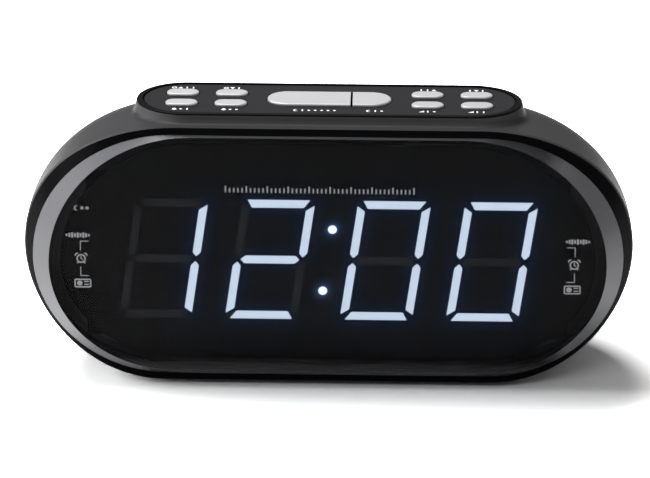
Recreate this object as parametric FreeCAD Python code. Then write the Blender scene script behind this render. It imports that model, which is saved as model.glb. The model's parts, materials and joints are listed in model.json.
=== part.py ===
"""Bedside clock with a jumbo four-digit LED display and a pod of buttons on top.

Millimetres, +Z up, X to the clock's right as it is read, +Y towards its back.
The origin is under the middle of the clock, on the surface that it stands on.
"""
import FreeCAD, Part
import math
import os
from FreeCAD import Vector as V

# ---- Case, as the reader sees it from the front
case_half_width = 110.9
case_rise = 51.65            # from the widest line up to the flat top
case_drop = 45.9             # from the widest line down to the flat bottom
case_upper_round = 55.4      # how far the upper corners reach in from the sides
case_lower_round = 52.0
case_depth = 76.0
foot_height = 2.2
foot_sink = 0.6             # the feet sit in shallow pockets
wall = 2.2                   # moulded wall of the case and the rear cover
lip_wall = 1.8               # wall at the front, where the bezel plugs in

# ---- Front edge of the case: flat in the middle, swept back at both ends
edge_setback = 2.6
edge_flat = 57.7
edge_sweep = 18.5
edge_power = 2.1
edge_round = 0.5             # eased edge that meets the bezel

# ---- Lens: a flat face with sloped ends, inside a dark bezel ring
bezel_side = 4.1             # width of the ring at the ends, the top and the bottom
bezel_top = 2.85
bezel_bottom = 3.3
slope_side = 6.4             # width of the lens's sloped border, the same way round
slope_top = 0.4
slope_bottom = 1.8
lens_raise = 1.5             # the face stands this far in front of the bezel
lens_flat = 39.7
lens_sweep = 6.6
lens_skirt = 2.6
lens_wall = 2.0
ledge = 3.0                  # the bezel's ledge behind the lens skirt
fit = 0.15                   # clearance of one moulding inside another

# ---- Depths behind the lens face
spigot = 3.5                 # how far the bezel plugs into the case
ledge_thick = 2.0
bulkhead_front = 26.0        # cross wall that carries the display and the boards
bulkhead = 2.2
dome_start = 29.2            # behind here the roof falls away
roof_fall = 32.0
side_taper = 26.0
floor_flat = 62.0            # the bottom stays flat this far back
floor_rise = 8.0
cover_split = 50.0           # parting line of case and rear cover
groove_width = 0.6           # reveal along the parting line
groove_depth = 0.5
lap_thick = 1.5
lap_reach = 3.0              # the cover's spigot plugs this far into the case

# ---- Button pod on the roof
pod_length = 139.0
pod_width = 36.0
pod_centre = 24.5
pod_height = 3.65            # above the flat of the roof
pod_flare = 2.0              # the pod's wall spreads this much down to the roof
pod_round = 0.6
pod_foot_round = 2.6         # the wall runs into the roof on this radius
panel_gap = 0.6              # reveal round the panel
pod_ledge = 1.6
well_wall = 1.6              # wall round the keys, inside the case
panel_length = 133.6
panel_width = 31.8
panel_thick = 2.0
cap_proud = 0.8
cap_travel = 0.8
cap_gap = 0.35               # between a cap and its opening
flange_over = 0.9
flange_thick = 1.2
bar_length = 44.7
bar_width = 14.8
bar_split = 8.0              # the long bar ends here and the short key begins
bar_split_gap = 0.8
small_length = 11.7
small_width = 6.6
small_inner = 35.4           # column centres from the middle
small_outer = 53.1
small_row = 5.7              # row centres from the pod's centre line
cap_round = 0.7

# ---- Key board under the buttons
peg_length = 6.5
peg_radius = 2.0
peg_bore = 1.0
peg_inner = 25.9
peg_to_end = 2.7             # outer pegs from the ends of the key board
board_thick = 1.6
key_board_play = 0.7         # between the key board's ends and the wall of its well
key_board_width = 25.0
switch_side = 6.0
switch_height = 3.8
plunger_radius = 1.5
plunger_gap = 0.3
plunger_engage = 2.0

# ---- Display
display_gap = 4.0            # lens face to the face of the digits
digit_height = 45.8
digit_width = 26.2
digit_slant = 8.1            # degrees
digit_centre = 0.9           # above the widest line
digit_inner = 20.8           # centre of the two middle digits
digit_pitch = 38.4
bar_thick = 3.0              # level segments
post_thick = 2.9             # upright segments
bar_inset = 1.85
mitre = 1.95
post_inset = 2.1
tip = 1.55                   # how far a pointed end reaches
tip_gap = 0.95
light_depth = 1.6
colon_radius = 1.6
colon_half = 11.8
lamp_radius = 0.9
lamp_gap = 7.0               # from the outer digits to the lamps
lamp_border = 7.7            # from the lamps to the end of the display block
lamp_rows = (20.5, 7.3, -6.2)
point_drop = 19.4
face_inset = 1.8
face_thick = 1.6
block_height = 60.0
block_depth = 8.0
window_half = 44.0           # opening in the cross wall for the ribbon cable
leg_radius = 3.5
leg_inset = 5.0
leg_z = 22.0
board_height = 54.0

# ---- Battery bay in the bottom, for two small cells
cell_radius = 5.25
cell_length = 44.5
cell_gap = 0.4
contact_room = 3.2
bay_wall = 1.5
bay_to_split = 0.9           # the bay ends just in front of the parting line
door_thick = 1.8
door_gap = 0.4
hinge_pin = 0.6
pin_reach = 1.0              # each hinge pin runs this far into the case
pin_gap = 0.12

# ---- Inside
board_to_boss = 9.0
main_height = 44.0
main_setback = 33.0
main_bottom = 22.5           # above the surface
chip_side = 20.0
chip_thick = 2.4
tuner_width = 22.0
tuner_height = 20.0
tuner_thick = 6.0
plug_width = 22.0
plug_height = 6.0
plug_thick = 5.0
can_radius = 3.0
can_length = 9.0
can_pitch = 9.0
ribbon_thick = 0.8
display_ribbon_width = 12.0
key_ribbon_width = 10.0
driver_length = 28.0
driver_height = 10.0
driver_thick = 2.5
post_radius = 3.0
rod_radius = 4.0
rod_length = 84.0
rod_to_split = 8.0
rod_to_roof = 16.15
coil_length = 26.0
coil_thick = 1.2
speaker_radius = 25.0
speaker_x = 42.0
speaker_z = -8.0
speaker_depth = 12.0
magnet_radius = 13.0
magnet_depth = 8.0
slot_width = 2.0
slot_pitch = 4.6
slot_field = 21.0
jack_offset = 12.0           # from the screw bosses beside it
jack_z = -20.0
jack_radius = 3.0
jack_pin = 1.0
jack_body = 10.0
jack_depth = 12.0
boss_radius = 4.0
boss_bore = 1.3
boss_hole = 16.0
boss_inset = 16.9            # from the end of the cover's back face
boss_upper = 6.0
boss_lower = -26.0
screw_radius = 1.2
small_screw = 0.9
head_radius = 2.8
head_height = 1.8
foot_radius = 6.0
foot_chamfer = 0.5
foot_x = 50.0
foot_front = 12.0
foot_back = 56.2

# ---- Worked out from the sizes above
case_bottom = foot_height - foot_sink
widest = case_bottom + case_drop
middle = case_depth / 2
pod_top = case_rise + pod_height
lens_half_width = case_half_width - bezel_side
face_half_width = lens_half_width - slope_side
lamp_x = digit_inner + digit_pitch + digit_width / 2 + lamp_gap
block_length = 2 * (lamp_x + lamp_border)
board_length = block_length - 2.0
leg_x = block_length / 2 - leg_inset
boss_x = case_half_width - side_taper - boss_inset
jack_x = -boss_x + jack_offset
main_length = 2 * (boss_x - board_to_boss)
bay_front = cover_split - bay_to_split - bay_wall - 4 * cell_radius - 3 * cell_gap
rod_y = cover_split - rod_to_split
rod_z = case_rise - rod_to_roof  # above the widest line


def lens_depth(x):
    """Depth of the lens's outer edge behind its face."""
    beyond = max(0.0, abs(x) - lens_flat)
    return lens_raise + lens_sweep * (beyond / (lens_half_width - lens_flat)) ** 2


def edge_depth(x):
    """Depth of the case's front edge behind the lens face."""
    beyond = max(0.0, abs(x) - edge_flat)
    return edge_setback + edge_sweep * (beyond / (case_half_width - edge_flat)) ** edge_power


def curve(points):
    last = len(points) - 1
    spline = Part.BSplineCurve()
    spline.interpolate(Points=points, Parameters=[i / last for i in range(last + 1)])
    return spline.toShape()


def outline(half_width, rise, drop, upper, lower, depth):
    """Six edges of a closed outline: flats joined by quarter-ellipses."""
    steps = 8
    flat_up = half_width - upper
    flat_low = half_width - lower
    quarter = [math.pi / 2 * i / steps for i in range(steps + 1)]
    along = [i / 4 - 1 for i in range(9)]
    top = [(flat_up * s, rise) for s in along]
    upper_right = [(flat_up + upper * math.sin(t), rise * math.cos(t)) for t in quarter]
    lower_right = [(flat_low + lower * math.cos(t), -drop * math.sin(t)) for t in quarter]
    bottom = [(-flat_low * s, -drop) for s in along]
    lower_left = [(-x, z) for x, z in reversed(lower_right)]
    upper_left = [(-x, z) for x, z in reversed(upper_right)]
    stretches = (top, upper_right, lower_right, bottom, lower_left, upper_left)
    return [curve([V(x, depth(x), widest + z) for x, z in s]) for s in stretches]


def inset_outline(size, inset, depth):
    """The outline of the same form, moved inward by inset all round."""
    half_width, rise, drop, upper, lower = size
    return outline(half_width - inset, rise - inset, drop - inset,
                   upper - inset * 0.6, lower - inset * 0.6, depth)


def level(y):
    return lambda x: y


def skin(sections, closed=False):
    """Solid between outlines in order, capped at both ends or closed on itself."""
    pairs = list(zip(sections, sections[1:]))
    if closed:
        pairs.append((sections[-1], sections[0]))
    faces = [Part.makeRuledSurface(a, b) for one, two in pairs for a, b in zip(one, two)]
    if not closed:
        faces += [Part.Face(Part.Wire(edges)) for edges in (sections[0], sections[-1])]
    shell = Part.Shell(faces)
    shell.sewShape()
    solid = Part.Solid(shell)
    solid.fix(0.001, 0.001, 0.001)
    if solid.Volume < 0:
        solid.reverse()
    return solid


case_size = (case_half_width, case_rise, case_drop, case_upper_round, case_lower_round)
lens_size = (lens_half_width, case_rise - bezel_top, case_drop - bezel_bottom,
             case_upper_round - 2.8, case_lower_round - 5.0)
face_size = (face_half_width, lens_size[1] - slope_top, lens_size[2] - slope_bottom,
             lens_size[3] - 1.0, lens_size[4] - 2.6)


def box(x0, x1, y0, y1, z0, z1):
    return Part.makeBox(x1 - x0, y1 - y0, z1 - z0, V(x0, y0, z0))


def rod(radius, length, x, y, z, direction):
    return Part.makeCylinder(radius, length, V(x, y, z), direction)


UP = V(0, 0, 1)
BACK = V(0, 1, 0)
FRONT = V(0, -1, 0)
RIGHT = V(1, 0, 0)


def stadium(length, width, x, y, z0, z1):
    """Upright prism with full-round ends along X."""
    radius = width / 2
    reach = length / 2 - radius
    solid = box(x - reach, x + reach, y - radius, y + radius, z0, z1)
    for side in (-1, 1):
        solid = solid.fuse(rod(radius, z1 - z0, x + side * reach, y, z0, UP))
    return solid.removeSplitter()


def stadium_wire(length, width, z):
    """The same outline as one closed wire round the pod's centre."""
    radius = width / 2
    reach = length / 2 - radius
    near = V(-reach, pod_centre - radius, z)
    near_right = V(reach, pod_centre - radius, z)
    far_right = V(reach, pod_centre + radius, z)
    far = V(-reach, pod_centre + radius, z)
    right = Part.Arc(near_right, V(reach + radius, pod_centre, z), far_right)
    left = Part.Arc(far, V(-reach - radius, pod_centre, z), near)
    return Part.Wire([Part.LineSegment(near, near_right).toShape(), right.toShape(),
                      Part.LineSegment(far_right, far).toShape(), left.toShape()])


def body_section(y, inset):
    """Outline of the case at depth y; the roof and sides draw in towards the back."""
    dome = max(0.0, (y - dome_start) / (case_depth - dome_start)) ** 2
    lift = max(0.0, (y - floor_flat) / (case_depth - floor_flat)) ** 2
    half_width = case_half_width - side_taper * dome - inset
    rise = case_rise - roof_fall * dome - inset
    drop = case_drop - floor_rise * lift - inset
    upper = case_upper_round - side_taper * dome * 0.35 - inset * 0.6
    lower = case_lower_round - side_taper * dome * 0.5 - inset * 0.6
    return Part.Wire(outline(half_width, rise, drop, upper, lower, level(y)))


def roof_at(x, y):
    """Height of the outer roof over a point of the plan, from the same section."""
    dome = max(0.0, (y - dome_start) / (case_depth - dome_start)) ** 2
    upper = case_upper_round - side_taper * dome * 0.35
    flat = case_half_width - side_taper * dome - upper
    beyond = min(1.0, max(0.0, abs(x) - flat) / upper)
    return widest + (case_rise - roof_fall * dome) * math.sqrt(1 - beyond ** 2)


def on_pod_foot(edge):
    """True for an edge along which the pod's wall meets the roof."""
    reach = (pod_length - pod_width) / 2
    first, last = edge.ParameterRange
    for part in range(5):
        point = edge.valueAt(first + (last - first) * part / 4)
        outside = math.hypot(max(0.0, abs(point.x) - reach), point.y - pod_centre) - pod_width / 2
        if not 0.1 < outside < pod_flare + 0.1 or abs(point.z - roof_at(point.x, point.y)) > 0.3:
            return False
    return True


def body(inset, back):
    steps = 6
    pitch = (case_depth - dome_start) / steps
    depths = [bulkhead_front, dome_start] + [dome_start + pitch * i for i in range(1, steps)]
    depths.append(back)
    return Part.makeLoft([body_section(y, inset) for y in depths], True, False)


def fused(shapes):
    whole = shapes[0]
    for shape in shapes[1:]:
        whole = whole.fuse(shape)
    return whole


# ---- The shell shared by the case and its rear cover
outer = body(0.0, case_depth)
inner = body(wall, case_depth - wall)
hollow = outer.cut(inner)
groove = outer.cut(body(groove_depth, case_depth))
groove = groove.common(Part.makeBox(800, groove_width, 800,
                                    V(-400, cover_split - groove_width / 2, -400)))
hollow = hollow.cut(groove)
huge = 400.0
front_half = box(-huge, huge, bulkhead_front, cover_split, -huge, huge)
back_half = box(-huge, huge, cover_split, case_depth + 1, -huge, huge)

# ---- Places that several pieces share
panel_top = widest + pod_top - 0.3
panel_bottom = panel_top - panel_thick
cap_base = panel_bottom - fit - flange_thick
board_top = panel_bottom - peg_length
roof_low = widest + case_rise - wall - 2.4
bay_back = bay_front + 4 * cell_radius + 3 * cell_gap
bay_half = cell_length / 2 + contact_room
floor_inside = case_bottom + wall
bay_floor = case_bottom + door_thick + 0.3
bay_roof = bay_floor + 2 * cell_radius + cell_gap
hinge_y = bay_front + door_gap + door_thick / 2
hinge_z = case_bottom + door_thick / 2
digit_z = widest + digit_centre
bulkhead_back = bulkhead_front + bulkhead
boss_places = [(side * boss_x, widest + z) for side in (-1, 1) for z in (boss_upper, boss_lower)]
leg_places = [(side * leg_x, digit_z + z) for side in (-1, 1) for z in (-leg_z, leg_z)]
board_posts = [(side * (main_length / 2 - 5), main_bottom + z)
               for side in (-1, 1) for z in (5, main_height - 5)]
key_board_length = panel_length - 2 * pod_ledge - 2 * key_board_play
peg_outer = key_board_length / 2 - peg_to_end
peg_places = [side * x for side in (-1, 1) for x in (peg_inner, peg_outer)]


def make_main_case():
    eased = lambda x: edge_depth(x) + edge_round
    ring = skin([inset_outline(case_size, edge_round, edge_depth),
                 outline(*case_size, eased),
                 outline(*case_size, level(bulkhead_front)),
                 inset_outline(case_size, lip_wall, level(bulkhead_front)),
                 inset_outline(case_size, lip_wall, edge_depth)], closed=True)
    tube = hollow.common(front_half)
    plate = body(wall - 0.2, cover_split).common(
        box(-huge, huge, bulkhead_front, bulkhead_back, -huge, huge))
    window = box(-window_half, window_half, 0, huge, digit_z - window_half / 2,
                 digit_z + window_half / 2)
    case = fused([ring, tube, plate.cut(window)])
    # pod with a well for the keys
    pod_floor = board_top - board_thick - 3.0
    well = stadium(panel_length - 2 * pod_ledge + 2 * well_wall,
                   panel_width - 2 * pod_ledge + 2 * well_wall,
                   0, pod_centre, pod_floor, panel_bottom)
    case = case.fuse(well)
    foot_ring = stadium_wire(pod_length + 2 * pod_flare, pod_width + 2 * pod_flare, roof_low)
    top_ring = stadium_wire(pod_length, pod_width, widest + pod_top)
    pod = Part.makeLoft([foot_ring, top_ring], True, True)
    crown = [e for e in pod.Edges if e.BoundBox.ZMin > widest + pod_top - 0.01]
    pod = pod.makeFillet(pod_round, crown)
    throat_depth = edge_depth(pod_length / 2 + pod_flare) + spigot + fit
    throat = skin([inset_outline(case_size, lip_wall, level(-1)),
                   inset_outline(case_size, lip_wall, level(throat_depth))])
    case = case.fuse(pod.cut(throat))
    case = case.makeFillet(pod_foot_round, [e for e in case.Edges if on_pod_foot(e)])
    case = case.cut(stadium(panel_length - 2 * pod_ledge, panel_width - 2 * pod_ledge,
                            0, pod_centre, pod_floor - 1, widest + pod_top + 1))
    case = case.cut(stadium(panel_length + 2 * panel_gap, panel_width + 2 * panel_gap,
                            0, pod_centre, panel_bottom, widest + pod_top + 1))
    # battery bay, open at the bottom for its door
    bay = box(-bay_half - bay_wall, bay_half + bay_wall, bay_front - bay_wall,
              bay_back + bay_wall, case_bottom, bay_roof + bay_wall)
    case = case.fuse(bay)
    case = case.cut(box(-bay_half, bay_half, bay_front, bay_back, case_bottom - 1, bay_roof))
    case = case.cut(rod(hinge_pin + pin_gap, 2 * (bay_half + pin_reach + pin_gap),
                        -bay_half - pin_reach - pin_gap, hinge_y, hinge_z, RIGHT))
    # bosses and posts
    for x, z in boss_places:
        case = case.fuse(rod(boss_radius, cover_split - bulkhead_front, x, bulkhead_front, z, BACK))
        case = case.cut(rod(boss_bore, boss_hole, x, cover_split - boss_hole, z, BACK))
    for x, z in board_posts:
        case = case.fuse(rod(post_radius, main_setback - bulkhead_front, x, bulkhead_front, z, BACK))
        case = case.cut(rod(peg_bore, 8, x, main_setback - 8, z, BACK))
    for x, z in leg_places:
        case = case.cut(rod(screw_radius + 0.3, 10, x, bulkhead_front - 2, z, BACK))
    case = case.cut(make_feet())
    # two arms that cradle the aerial rod
    for x in (-rod_length / 2 + 8, rod_length / 2 - 8):
        arm = box(x - 2, x + 2, bulkhead_front, rod_y + rod_radius + 2,
                  widest + rod_z - rod_radius - 3, widest + rod_z)
        case = case.fuse(arm.cut(rod(rod_radius, 6, x - 3, rod_y, widest + rod_z, RIGHT)))
    return case


def make_front_bezel():
    seat = lambda x: lens_depth(x) + lens_skirt + 0.1
    under = lambda x: seat(x) + ledge_thick
    end = lambda x: edge_depth(x) + spigot
    mouth = lambda d: inset_outline(lens_size, -fit, d)
    bore = lambda d: inset_outline(lens_size, ledge, d)
    plug = lambda d: inset_outline(case_size, lip_wall + fit, d)
    rim = inset_outline(case_size, edge_round, edge_depth)
    return skin([mouth(lens_depth), rim, plug(edge_depth),
                 plug(end), bore(under), bore(seat), mouth(seat)], closed=True)


def make_display_lens():
    skirt = lambda x: lens_depth(x) + lens_skirt
    inside = lambda x: lens_depth(x) + 1.2
    return skin([outline(*face_size, level(0)), outline(*lens_size, lens_depth),
                 outline(*lens_size, skirt), inset_outline(lens_size, lens_wall, skirt),
                 inset_outline(lens_size, lens_wall, inside),
                 inset_outline(face_size, lens_wall, level(lens_wall))])


def slanted(points, x, z, y, thick):
    """Plate of thickness thick behind y; the points lean over with the digits."""
    lean = math.tan(math.radians(digit_slant))
    ring = [V(x + u + v * lean, y, z + v) for u, v in points]
    return Part.Face(Part.makePolygon(ring + ring[:1])).extrude(V(0, thick, 0))


def segment_points():
    """Outlines of the seven segments, a to g, about the digit's centre."""
    half_w = digit_width / 2
    half_h = digit_height / 2
    level_bar = [(-half_w + bar_inset, half_h), (half_w - bar_inset, half_h),
                 (half_w - bar_inset - mitre, half_h - bar_thick),
                 (-half_w + bar_inset + mitre, half_h - bar_thick)]
    post = [(half_w, half_h - post_inset), (half_w, tip_gap + tip),
            (half_w - post_thick / 2, tip_gap), (half_w - post_thick, tip_gap + tip),
            (half_w - post_thick, half_h - post_inset - mitre)]
    reach = half_w - post_thick + tip / 4
    flat = reach - tip
    cross = [(-reach, 0), (-flat, bar_thick / 2), (flat, bar_thick / 2), (reach, 0),
             (flat, -bar_thick / 2), (-flat, -bar_thick / 2)]
    down = lambda points: [(u, -v) for u, v in points]
    left = lambda points: [(-u, v) for u, v in points]
    return {"a": level_bar, "b": post, "c": down(post), "d": down(level_bar),
            "e": left(down(post)), "f": left(post), "g": cross}


SHOWN = {"1": "bc", "2": "abdeg", "0": "abcdef"}
digit_places = (-digit_inner - digit_pitch, -digit_inner, digit_inner, digit_inner + digit_pitch)


def make_segments(lit):
    shapes = []
    for place, figure in zip(digit_places, "1200"):
        for name, points in segment_points().items():
            if (name in SHOWN[figure]) == lit:
                shapes.append(slanted(points, place, digit_z, display_gap, light_depth))
    return Part.makeCompound(shapes)


def light(x, z, radius):
    return rod(radius, light_depth, x, display_gap, z, BACK)


def make_colon_dots():
    lean = colon_half * math.tan(math.radians(digit_slant))
    return Part.makeCompound([light(s * lean, digit_z + s * colon_half, colon_radius)
                              for s in (-1, 1)])


def make_indicator_lamps():
    lamps = [light(-lamp_x, widest + row, lamp_radius) for row in lamp_rows]
    lamps += [light(lamp_x, widest + row, lamp_radius) for row in lamp_rows[1:]]
    lamps.append(light(digit_inner + digit_width / 2 + tip, digit_z - point_drop, lamp_radius))
    return Part.makeCompound(lamps)


def make_display_housing():
    face = skin([inset_outline(face_size, lens_wall + face_inset, level(display_gap)),
                 inset_outline(face_size, lens_wall + face_inset, level(display_gap + face_thick))])
    back = display_gap + block_depth
    block = box(-block_length / 2, block_length / 2, display_gap + face_thick / 2, back,
                digit_z - block_height / 2, digit_z + block_height / 2)
    room = box(-board_length / 2 - fit, board_length / 2 + fit, back - board_thick, back + 5,
               digit_z - board_height / 2 - fit, digit_z + board_height / 2 + fit)
    housing = face.fuse(block).cut(room)
    for x, z in leg_places:
        leg = rod(leg_radius, bulkhead_front - back + board_thick, x, back - board_thick, z, BACK)
        housing = housing.fuse(leg)
        housing = housing.cut(rod(boss_bore, 7, x, bulkhead_front - 7, z, BACK))
    for lights in (make_segments(True), make_segments(False),
                   make_colon_dots(), make_indicator_lamps()):
        housing = housing.cut(lights)
    return housing


def make_display_board():
    back = display_gap + block_depth
    board = box(-board_length / 2, board_length / 2, back - board_thick, back,
                digit_z - board_height / 2, digit_z + board_height / 2)
    for x, z in leg_places:
        board = board.cut(rod(leg_radius + 0.3, board_thick + 1, x, back - board_thick - 0.5, z, BACK))
    driver = box(-driver_length / 2, driver_length / 2, back, back + driver_thick,
                 digit_z - driver_height / 2, digit_z + driver_height / 2)
    return board.fuse(driver)


# ---- Buttons: each cap, and the switch plunger that it presses
def obround_cap(length, width, x, y):
    cap = stadium(length, width, x, y, cap_base, panel_top + cap_proud)
    crown = [e for e in cap.Edges if e.BoundBox.ZMin > panel_top + cap_proud - 0.01]
    cap = cap.makeFillet(cap_round, crown)
    flange = stadium(length + 2 * flange_over, width + 2 * flange_over, x, y,
                     cap_base, cap_base + flange_thick)
    return cap.fuse(flange)


def bar_cap(left_side):
    whole = obround_cap(bar_length, bar_width, 0, pod_centre)
    edge = bar_split - bar_split_gap / 2 if left_side else bar_split + bar_split_gap / 2
    keep = box(-huge, edge, -huge, huge, -huge, huge) if left_side else \
        box(edge, huge, -huge, huge, -huge, huge)
    return whole.common(keep)


snooze_x = (-bar_length / 2 + bar_split) / 2
sleep_x = (bar_length / 2 + bar_split) / 2
small_names = {"hour": (-small_outer, 1), "minute": (-small_inner, 1),
               "alarm_one": (-small_outer, -1), "alarm_two": (-small_inner, -1),
               "tune_up": (small_inner, 1), "tune_down": (small_outer, 1),
               "volume_down": (small_inner, -1), "volume_up": (small_outer, -1)}
key_places = {"snooze": (snooze_x, pod_centre), "sleep": (sleep_x, pod_centre)}
for key, (key_x, key_row) in small_names.items():
    key_places[key] = (key_x, pod_centre + key_row * small_row)


def make_cap(key):
    x, y = key_places[key]
    if key in ("snooze", "sleep"):
        return bar_cap(key == "snooze")
    return obround_cap(small_length, small_width, x, y)


def make_plunger(key):
    x, y = key_places[key]
    bottom = board_top + switch_height - plunger_engage
    return rod(plunger_radius, cap_base - bottom, x, y, bottom, UP)


def make_key_switches():
    bodies = []
    for x, y in key_places.values():
        half = switch_side / 2
        body_box = box(x - half, x + half, y - half, y + half, board_top, board_top + switch_height)
        depth = plunger_engage + cap_travel + 0.3
        well = rod(plunger_radius + plunger_gap, depth + 1, x, y,
                   board_top + switch_height - depth, UP)
        bodies.append(body_box.cut(well))
    return Part.makeCompound(bodies)


def make_button_panel():
    panel = stadium(panel_length, panel_width, 0, pod_centre, panel_bottom, panel_top)
    for key, (x, y) in key_places.items():
        if key not in ("snooze", "sleep"):
            panel = panel.cut(stadium(small_length + 2 * cap_gap, small_width + 2 * cap_gap,
                                      x, y, panel_bottom - 1, panel_top + 1))
    panel = panel.cut(stadium(bar_length + 2 * cap_gap, bar_width + 2 * cap_gap,
                              0, pod_centre, panel_bottom - 1, panel_top + 1))
    for x in peg_places:
        panel = panel.fuse(rod(peg_radius, peg_length, x, pod_centre, board_top, UP))
        panel = panel.cut(rod(peg_bore, peg_length - 1, x, pod_centre, board_top - 1, UP))
    return panel


def make_key_board():
    board = stadium(key_board_length, key_board_width, 0, pod_centre,
                    board_top - board_thick, board_top)
    for x in peg_places:
        board = board.cut(rod(screw_radius + 0.1, 4, x, pod_centre, board_top - 3, UP))
    return board


# ---- Rear cover
def speaker_place():
    return speaker_x, case_depth - wall, widest + speaker_z


def make_rear_cover():
    cover = hollow.common(back_half)
    # spigot that plugs inside the case
    core = body(wall + fit + lap_thick, case_depth - wall - 1)
    plug = body(wall + fit, case_depth - wall).cut(core)
    root = body(wall, case_depth - wall).cut(core)
    lap = plug.common(box(-huge, huge, cover_split - lap_reach, cover_split, -huge, huge))
    lap = lap.fuse(root.common(box(-huge, huge, cover_split, cover_split + lap_reach,
                                   -huge, huge)))
    lap = lap.cut(box(-bay_half - bay_wall - 1, bay_half + bay_wall + 1, 0, cover_split + 1,
                      0, bay_roof + bay_wall + 1))
    cover = cover.fuse(lap)
    x, y, z = speaker_place()
    count = int(slot_field / slot_pitch)
    for i in range(-count, count + 1):
        half = math.sqrt(slot_field ** 2 - (i * slot_pitch) ** 2)
        slot = box(x - half, x + half, y - 1, case_depth + 1,
                   z + i * slot_pitch - slot_width / 2, z + i * slot_pitch + slot_width / 2)
        cover = cover.cut(slot)
    rib = rod(speaker_radius + 1.8, 3, x, y - 3, z, BACK)
    cover = cover.fuse(rib.cut(rod(speaker_radius + fit, 3, x, y - 3, z, BACK)))
    for bx, bz in boss_places:
        cover = cover.fuse(rod(boss_radius, y - cover_split, bx, cover_split, bz, BACK))
        cover = cover.cut(rod(screw_radius + 0.3, huge, bx, cover_split - 1, bz, BACK))
        cover = cover.cut(rod(head_radius + 0.4, huge, bx, cover_split + 4, bz, BACK))
    cover = cover.cut(make_feet())
    cover = cover.cut(rod(jack_radius + 0.6, wall + 2, jack_x, y - 1, widest + jack_z, BACK))
    return cover


def make_speaker_frame():
    x, y, z = speaker_place()
    flange = rod(speaker_radius, 1.2, x, y, z, FRONT)
    basket = Part.makeCone(speaker_radius - 1.5, magnet_radius + 1, speaker_depth - 1.2,
                           V(x, y - 1.2, z), FRONT)
    room = Part.makeCone(speaker_radius - 2.5, magnet_radius - 1, speaker_depth - 1,
                         V(x, y, z), FRONT)
    return flange.fuse(basket).cut(room)


def make_speaker_cone():
    x, y, z = speaker_place()
    depth = speaker_depth - 2.5
    outside = Part.makeCone(speaker_radius - 3.2, magnet_radius - 4, depth, V(x, y, z), FRONT)
    inside = Part.makeCone(speaker_radius - 3.8, magnet_radius - 5, depth, V(x, y + 0.6, z), FRONT)
    cap = Part.makeSphere(magnet_radius, V(x, y - depth - 6, z))
    cap = cap.common(rod(magnet_radius - 4.8, 20, x, y - depth, z, BACK))
    return outside.cut(inside).fuse(cap)


def make_speaker_magnet():
    x, y, z = speaker_place()
    magnet = rod(magnet_radius, magnet_depth, x, y - speaker_depth, z, FRONT)
    plate = rod(magnet_radius + 2, 2, x, y - speaker_depth - magnet_depth, z, FRONT)
    return magnet.fuse(plate)


# ---- Power inlet
def make_dc_jack():
    y = case_depth - wall
    z = widest + jack_z
    half = jack_body / 2
    block = box(jack_x - half, jack_x + half, y - jack_depth, y, z - half, z + half)
    return block.cut(rod(jack_radius, jack_depth - 2, jack_x, y - jack_depth + 2, z, BACK))


def make_dc_pin():
    y = case_depth - wall
    return rod(jack_pin, jack_depth - 3, jack_x, y - jack_depth + 2, widest + jack_z, BACK)


# ---- Electronics and aerial
def make_main_board():
    board = box(-main_length / 2, main_length / 2, main_setback, main_setback + board_thick,
                main_bottom, main_bottom + main_height)
    for x, z in board_posts:
        board = board.cut(rod(screw_radius + 0.2, 4, x, main_setback - 1, z, BACK))
    return board


def on_board(x, z, width, height, thick):
    """Block on the back of the main board, centred at x and at z above the board's middle."""
    y = main_setback + board_thick
    z += main_bottom + main_height / 2
    return box(x - width / 2, x + width / 2, y, y + thick, z - height / 2, z + height / 2)


def make_main_board_parts():
    half = main_length / 2
    parts = [on_board(0, -1, chip_side, chip_side, chip_thick),
             on_board(-half + 0.45 * half, 4, tuner_width, tuner_height, tuner_thick),
             on_board(half / 2, 7, plug_width, plug_height, plug_thick)]
    y = main_setback + board_thick
    for i in range(3):
        parts.append(rod(can_radius, can_length, half / 3 + i * can_pitch, y,
                         main_bottom + can_length + can_radius, BACK))
    return Part.makeCompound(parts)


def make_ferrite_rod():
    return rod(rod_radius, rod_length, -rod_length / 2, rod_y, widest + rod_z, RIGHT)


def make_ferrite_coil():
    coil = rod(rod_radius + coil_thick, coil_length, -coil_length / 2, rod_y, widest + rod_z, RIGHT)
    return coil.cut(rod(rod_radius, coil_length, -coil_length / 2, rod_y, widest + rod_z, RIGHT))


def ribbon(points, width, thick):
    """Flat cable: a strip of the given width along X, following points in Y and Z."""
    strips = []
    for (y0, z0), (y1, z1) in zip(points, points[1:]):
        strips.append(box(-width / 2, width / 2, min(y0, y1) - thick / 2, max(y0, y1) + thick / 2,
                          min(z0, z1) - thick / 2, max(z0, z1) + thick / 2))
    return fused(strips).removeSplitter()


def make_display_ribbon():
    near = display_gap + block_depth + driver_thick + ribbon_thick / 2
    far = main_setback - ribbon_thick / 2
    return ribbon([(near, digit_z - 3), (near, digit_z + 1), (far, digit_z + 1), (far, digit_z - 6)],
                  display_ribbon_width, ribbon_thick)


def make_key_ribbon():
    y = main_setback + board_thick + ribbon_thick / 2
    top = board_top - board_thick - ribbon_thick / 2
    return ribbon([(y, main_bottom + main_height - 4), (y, top)], key_ribbon_width, ribbon_thick)


# ---- Battery bay
def make_backup_cells():
    cells = []
    for i in range(2):
        y = bay_front + cell_gap + cell_radius + i * (2 * cell_radius + cell_gap)
        z = bay_floor + cell_gap / 2 + cell_radius
        side = 1 if i == 0 else -1
        can = rod(cell_radius, cell_length - 1.2, -cell_length / 2 + (0 if side > 0 else 1.2),
                  y, z, RIGHT)
        nub_x = cell_length / 2 - 1.2 if side > 0 else -cell_length / 2
        cells.append(can.fuse(rod(1.9, 1.2, nub_x, y, z, RIGHT)))
    return Part.makeCompound(cells)


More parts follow.
